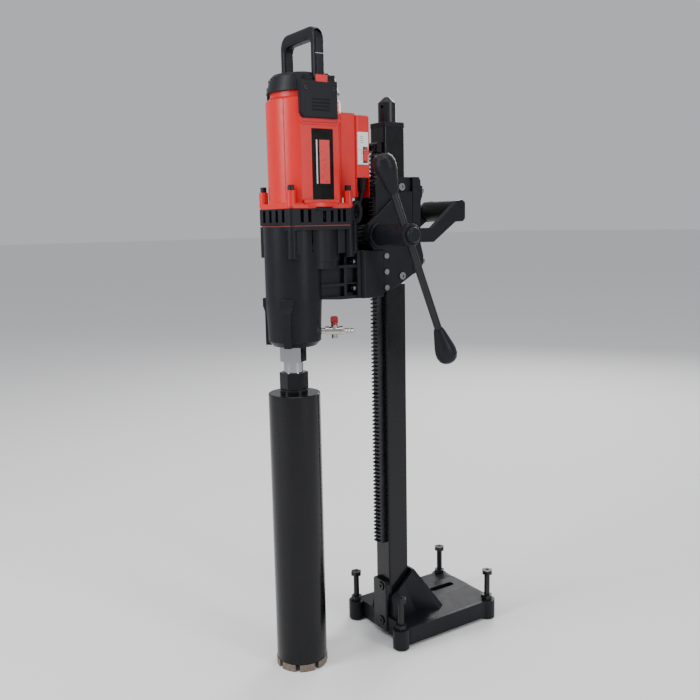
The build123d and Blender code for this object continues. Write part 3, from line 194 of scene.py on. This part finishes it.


# Edge colours mixed in lighter than the black paint: partly rubbed paint, partly a painted edge highlight.
CAST_RUB_AND_HIGHLIGHT = (0.10, 0.10, 0.11)
BASE_RUB_AND_HIGHLIGHT = (0.16, 0.16, 0.17)
LOOKS = {
    "cast_black": dict(colour=(0.010, 0.0105, 0.0135), roughness=0.38, grain=(900, 0.22),
                       wear_and_highlight=(CAST_RUB_AND_HIGHLIGHT, 0.5), specular=0.16),
    "base_black": dict(colour=(0.009, 0.0093, 0.012), roughness=0.36, grain=(700, 0.25),
                       wear_and_highlight=(BASE_RUB_AND_HIGHLIGHT, 0.4), specular=0.16),
    "column_black": dict(colour=(0.006, 0.0062, 0.0078), roughness=0.26, grain=(260, 0.05), coat=0.2,
                         specular=0.18),
    "bit_black": dict(colour=(0.0045, 0.0045, 0.0055), roughness=0.25, grain=(220, 0.05), coat=0.15,
                      round_edge=0.5, specular=0.18),
    "rack_steel": dict(colour=(0.06, 0.06, 0.065), roughness=0.38, metallic=0.9, grain=(1200, 0.15),
                       round_edge=0.3),
    "black_screws": dict(colour=(0.02, 0.02, 0.022), roughness=0.34, metallic=0.6, grain=(1500, 0.1),
                         round_edge=0.3),
    "bright_screws": dict(colour=(0.25, 0.25, 0.26), roughness=0.30, metallic=1.0, grain=(1500, 0.1),
                          round_edge=0.3),
    "housing_red": dict(colour=(0.66, 0.010, 0.010), roughness=0.34, grain=(1900, 0.10), variation=0.04,
                        specular=0.4),
    "plastic_black": dict(colour=(0.010, 0.0105, 0.014), roughness=0.38, grain=(2100, 0.16),
                          specular=0.16),
    "label_black": dict(colour=(0.003, 0.003, 0.0034), roughness=0.22, grain=(500, 0.03),
                        round_edge=0.2, specular=0.18),
    "rubber_black": dict(colour=(0.009, 0.009, 0.010), roughness=0.5, grain=(2500, 0.2), specular=0.16),
    "gasket_pink": dict(colour=(0.40, 0.07, 0.06), roughness=0.6, grain=(1500, 0.2), round_edge=0),
    "chrome": dict(colour=(0.42, 0.42, 0.44), roughness=0.12, metallic=1.0, grain=(400, 0.03),
                   variation=0.04, spread=0.04),
    "valve_nickel": dict(colour=(0.46, 0.44, 0.41), roughness=0.24, metallic=1.0, grain=(900, 0.08),
                         variation=0.06),
    "valve_red": dict(colour=(0.30, 0.012, 0.02), roughness=0.35, grain=(900, 0.1)),
    "breaker_white": dict(colour=(0.80, 0.80, 0.78), roughness=0.30, grain=(1500, 0.05),
                          variation=0.03),
    "toggle_red": dict(colour=(0.62, 0.03, 0.03), roughness=0.30, grain=(1500, 0.05), variation=0.05),
    "segments": dict(colour=(0.20, 0.16, 0.13), roughness=0.55, metallic=0.7, grain=(1800, 0.6),
                     variation=0.35, blotch=300),
    "motor_steel": dict(colour=(0.30, 0.30, 0.31), roughness=0.35, metallic=1.0, grain=(900, 0.2),
                        stretch=(0.2, 0.2, 8)),
    "copper": dict(colour=(0.60, 0.30, 0.18), roughness=0.3, metallic=1.0, grain=(1200, 0.15)),
    "bronze": dict(colour=(0.50, 0.34, 0.16), roughness=0.35, metallic=1.0, grain=(1200, 0.15)),
    "pad_plastic": dict(colour=(0.62, 0.60, 0.55), roughness=0.4, grain=(1200, 0.1)),
    "seam_red": dict(colour=(0.20, 0.006, 0.006), roughness=0.5, round_edge=0),
    "line_pale": dict(colour=(0.62, 0.62, 0.62), roughness=0.4, round_edge=0),
}
FINISHES = {name: surface(name, **look) for name, look in LOOKS.items()}

for subpart in frame["record"]["subparts"]:
    cad = frame["nodes"][subpart["node"]]
    for material_slot in cad.material_slots:
        material_slot.material = FINISHES[subpart["material_slot"]]

# ---------------------------------------------------------------- helpers for pieces


def link(obj):
    bpy.context.scene.collection.objects.link(obj)
    return obj


def dress(obj, body, finish):
    """Gives a new piece its finish and body."""
    obj.data.materials.clear()
    obj.data.materials.append(FINISHES[finish])
    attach(obj, body)
    return obj


# ---------------------------------------------------------------- small pieces

MOTOR_Y = -157.0
SHELL_R = 56.5
SEAMS = (("front_right", -61.4), ("front_left", -118.6), ("rear_right", 61.4), ("rear_left", 118.6))
SEAM_Z = 824.0
SEAM_LONG = 144.0
BROW_SLOPE = 40.0
LABEL_FACE = 46.45
LABEL_Z = 806.0
LABEL_LONG = 64.0
PLUG_TILT = 52.0
MARKS = 4
MARK_TOP = 848.0
MARK_STEP = 3.2
BEVEL_CUTS = 3
DISC_SIDES = 48


def piece(name, mesh_maker, at, body, finish, bevel=0.0, turn=None):
    """One new mesh piece made by mesh_maker(bm) about its own middle; sizes in millimetres."""
    bm = bmesh.new()
    mesh_maker(bm)
    if bevel:
        bmesh.ops.bevel(bm, geom=bm.edges[:], offset=bevel, segments=BEVEL_CUTS, affect="EDGES",
                        profile=0.5)
    if turn is not None:
        bmesh.ops.transform(bm, matrix=turn.to_4x4(), verts=bm.verts)
    place = Matrix.Scale(MM, 4) @ Matrix.Translation(Vector(at))
    bmesh.ops.transform(bm, matrix=place, verts=bm.verts)
    mesh = bpy.data.meshes.new(name)
    bm.to_mesh(mesh)
    bm.free()
    return dress(link(bpy.data.objects.new(name, mesh)), body, finish)


def block(name, at, size, body, finish, bevel=0.0, turn=None):
    def make(bm):
        bmesh.ops.create_cube(bm, size=1.0)
        bmesh.ops.scale(bm, vec=Vector(size), verts=bm.verts)
    return piece(name, make, at, body, finish, bevel, turn)


def disc(name, at, radius, thick, body, finish, turn, bevel):
    """A round plate with bevelled rims, its axis along Z before the turn."""
    def make(bm):
        bmesh.ops.create_cone(bm, cap_ends=True, segments=DISC_SIDES, radius1=radius, radius2=radius,
                              depth=thick)
        rims = [edge for edge in bm.edges if abs(edge.verts[0].co.z - edge.verts[1].co.z) < 1e-6]
        bmesh.ops.bevel(bm, geom=rims, offset=bevel, segments=BEVEL_CUTS, affect="EDGES", profile=0.5)
    return piece(name, make, at, body, finish, turn=turn)


def dress_motor():
    """Mouldings, seams and a plain label on the red housing; both flats carry the same ones."""
    for side, word in ((1, "right"), (-1, "left")):
        block(f"housing_rib_{word}", (side * 49.2, MOTOR_Y - 1, 748), (3.2, 62, 5.5), "carriage",
              "housing_red", 1.4)
        block(f"housing_brow_{word}", (side * 46.4, MOTOR_Y, 861), (3.0, 60, 4), "carriage",
              "housing_red", 1.3)
        for end, end_word in ((-1, "front"), (1, "rear")):
            slope = Matrix.Rotation(math.radians(end * BROW_SLOPE), 3, "X")
            block(f"housing_brow_{word}_{end_word}", (side * 46.2, MOTOR_Y + end * 31.5, 863.6),
                  (2.6, 9, 3.4), "carriage", "housing_red", 1.1, slope)
        block(f"vent_tab_{word}", (side * 50.2, MOTOR_Y + 3, 738.5), (2.4, 28, 9), "carriage",
              "plastic_black", 0.6)
        block(f"label_bar_{word}", (side * LABEL_FACE, MOTOR_Y + 7.5, LABEL_Z), (0.3, 18, LABEL_LONG),
              "carriage", "toggle_red")
        block(f"label_line_{word}", (side * LABEL_FACE, MOTOR_Y - 6, LABEL_Z), (0.3, 2.2, LABEL_LONG),
              "carriage", "line_pale")
    for word, angle in SEAMS:
        turn = math.radians(angle)
        at = (SHELL_R * math.cos(turn), MOTOR_Y + SHELL_R * math.sin(turn), SEAM_Z)
        block(f"housing_seam_{word}", at, (0.5, 0.9, SEAM_LONG), "carriage", "seam_red",
              turn=Matrix.Rotation(turn, 3, "Z"))
    block("handle_latch", (49.6, MOTOR_Y + 2.5, 925), (4.2, 20, 10.5), "carriage", "housing_red", 0.6)
    tilt = Matrix.Rotation(math.radians(PLUG_TILT), 3, "Y")
    disc("handle_plug", (45.9, MOTOR_Y, 989.1), 5.8, 1.4, "carriage", "label_black", tilt, 0.4)
    block("handle_seam", (51.4, MOTOR_Y, 960), (0.5, 14, 0.6), "carriage", "line_pale")


def dress_breaker():
    """Plain dashes on the breaker's face and a rib on the cover below it."""
    for row in range(MARKS):
        block(f"breaker_mark_{row + 1}", (26.55, -68.5, MARK_TOP - MARK_STEP * row), (0.2, 6, 0.7),
              "carriage", "black_screws")
    block("switch_cover_rib", (25.1, -65.5, 786.5), (1.4, 26, 2.4), "carriage", "housing_red", 0.5)


dress_motor()
dress_breaker()

# ---------------------------------------------------------------- mains lead

LEAD_R = 4.0
COIL_Y = -45.9
COIL_Z = 671.7
LEAD_FIRST = [(18.0, -64.0, 765.0), (16.5, -66.4, 750), (11.5, -72, 735.3), (0.7, -80.7, 721),
              (-16.4, -90.6, 709), (-31.8, -93.1, 696.2), (-42.2, -92.6, 679.1),
              (-46.2, -93.1, 661.3), (-48.2, -89.9, 648.0)]
LEAD_LAST = [(-74, -58.8, COIL_Z + 49.5), (-80.5, -75.3, COIL_Z + 43), (-87, -87.3, COIL_Z + 30),
             (-91.5, -93.3, COIL_Z + 13), (-92.5, -94.8, COIL_Z - 4)]
COIL_COLUMNS = (-48.2, -56.2, -64.2, -72.2)
COIL_INNER = 42.9  # radius of the control points; the turns themselves run 2% inside it
COIL_OUTER = 50.9
COIL_START = 225.0
COIL_END = 2610.0
COIL_STEP = 22.5
COIL_SHIFT = 45.0  # angle over which a turn moves to the next place
COIL_FIRST_SHIFT = 495.0
COIL_EVERY = 315.0
TIE_ANGLE = -45.0
TIE_RADIUS = 46.0


def coil_points():
    """The wound part: four columns and two layers of turns, hung on the left cheek's sleeve."""
    lanes = []
    for index, column in enumerate(COIL_COLUMNS):
        radii = (COIL_OUTER, COIL_INNER) if index % 2 == 0 else (COIL_INNER, COIL_OUTER)
        lanes += [(column, radius) for radius in radii]
    points = []
    steps = int((COIL_END - COIL_START) / COIL_STEP)
    for step in range(steps + 1):
        angle = COIL_START + COIL_STEP * step
        along = (angle - COIL_FIRST_SHIFT) / COIL_EVERY
        lane = min(len(lanes) - 1, max(0, int(along) + (1 if along >= 0 else 0)))
        behind = max(0, lane - 1)
        past = angle - COIL_FIRST_SHIFT - COIL_EVERY * behind
        shift = 1.0 if lane == 0 else min(1.0, past / COIL_SHIFT)
        ease = shift * shift * (3 - 2 * shift)
        x = lanes[behind][0] + (lanes[lane][0] - lanes[behind][0]) * ease
        radius = lanes[behind][1] + (lanes[lane][1] - lanes[behind][1]) * ease
        turn = math.radians(angle)
        points.append((x, COIL_Y + radius * math.cos(turn), COIL_Z + radius * math.sin(turn)))
    return points


def make_lead():
    route = LEAD_FIRST + coil_points() + LEAD_LAST
    data = bpy.data.curves.new("mains_lead_cord", "CURVE")
    data.dimensions = "3D"
    data.bevel_depth = LEAD_R * MM
    data.bevel_resolution = 5
    data.resolution_u = 6
    spline = data.splines.new("NURBS")
    spline.points.add(len(route) - 1)
    for point, spot in zip(spline.points, route):
        point.co = (*[c * MM for c in spot], 1)
    spline.order_u = 3
    spline.use_endpoint_u = True
    lead = link(bpy.data.objects.new("mains_lead_cord", data))
    dress(lead, "carriage", "rubber_black")
    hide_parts("mains_lead", "lead_coil")


def make_tie():
    """A flat band round all the turns, low at the rear of the coil."""
    thick, slack, half_wide = 0.9, 0.15, 6.0
    half_x = (COIL_COLUMNS[0] - COIL_COLUMNS[-1]) / 2 + LEAD_R + slack
    half_z = 2 * LEAD_R + slack
    turn = math.radians(TIE_ANGLE)

    def make(bm):
        rings = []
        for along in (-half_wide, half_wide):
            for grow in (thick, 0.0):
                rings.append([bm.verts.new((sx * (half_x + grow), along, sz * (half_z + grow)))
                              for sx, sz in ((1, 1), (-1, 1), (-1, -1), (1, -1))])
        outer_back, inner_back, outer_front, inner_front = rings
        for first, second in ((outer_back, outer_front), (outer_front, inner_front),
                              (inner_front, inner_back), (inner_back, outer_back)):
            for i in range(4):
                bm.faces.new((first[i], first[i - 1], second[i - 1], second[i]))
        bmesh.ops.recalc_face_normals(bm, faces=bm.faces[:])

    middle = ((COIL_COLUMNS[0] + COIL_COLUMNS[-1]) / 2, COIL_Y + TIE_RADIUS * math.cos(turn),
              COIL_Z + TIE_RADIUS * math.sin(turn))
    outwards = Matrix.Rotation(turn - math.pi / 2, 3, "X")
    piece("lead_tie", make, middle, "carriage", "rubber_black", 0.25, outwards)


make_tie()
make_lead()

# ---------------------------------------------------------------- studio

CENTRE = Vector((0.0, -0.08, 0.5))
LIGHTS = (  # name, azimuth, elevation, distance, size, power
    ("key", -5, 28, 2.6, (0.9, 1.8), 52),
    ("fill", 105, 18, 2.8, (0.7, 1.8), 30),
    ("rim", 215, 30, 2.8, (1.2, 1.8), 40),
    ("top", 57, 80, 2.6, (1.6, 1.6), 26),
)
WORLD_STRENGTH = 0.55
FLOOR_HALF = 40.0


def soft_light(name, azimuth, elevation, distance, size, power):
    """An area light that looks at the object; azimuth and elevation as for a camera."""
    turn, tilt = math.radians(azimuth), math.radians(elevation)
    towards = Vector((math.sin(turn) * math.cos(tilt), -math.cos(turn) * math.cos(tilt), math.sin(tilt)))
    data = bpy.data.lights.new(name, "AREA")
    data.shape = "RECTANGLE"
    data.size, data.size_y = size
    data.energy = power
    light = bpy.data.objects.new(name, data)
    light.location = CENTRE + distance * towards
    light.rotation_euler = (CENTRE - light.location).to_track_quat("-Z", "Y").to_euler()
    link(light)


def make_studio():
    for name, azimuth, elevation, distance, size, power in LIGHTS:
        soft_light(name, azimuth, elevation, distance, size, power)
    world = bpy.data.worlds.new("studio")
    world.use_nodes = True
    background = world.node_tree.nodes["Background"]
    background.inputs["Color"].default_value = (0.95, 0.96, 1.0, 1)
    background.inputs["Strength"].default_value = WORLD_STRENGTH
    bpy.context.scene.world = world
    mesh = bpy.data.meshes.new("floor")
    half = FLOOR_HALF
    corners = [(-half, -half, 0), (half, -half, 0), (half, half, 0), (-half, half, 0)]
    mesh.from_pydata(corners, [], [(0, 1, 2, 3)])
    floor = link(bpy.data.objects.new("floor", mesh))
    paper = bpy.data.materials.new("paper")
    paper.use_nodes = True
    shader = paper.node_tree.nodes["Principled BSDF"]
    shader.inputs["Base Color"].default_value = (0.86, 0.86, 0.86, 1)
    shader.inputs["Roughness"].default_value = 0.9
    mesh.materials.append(paper)


make_studio()
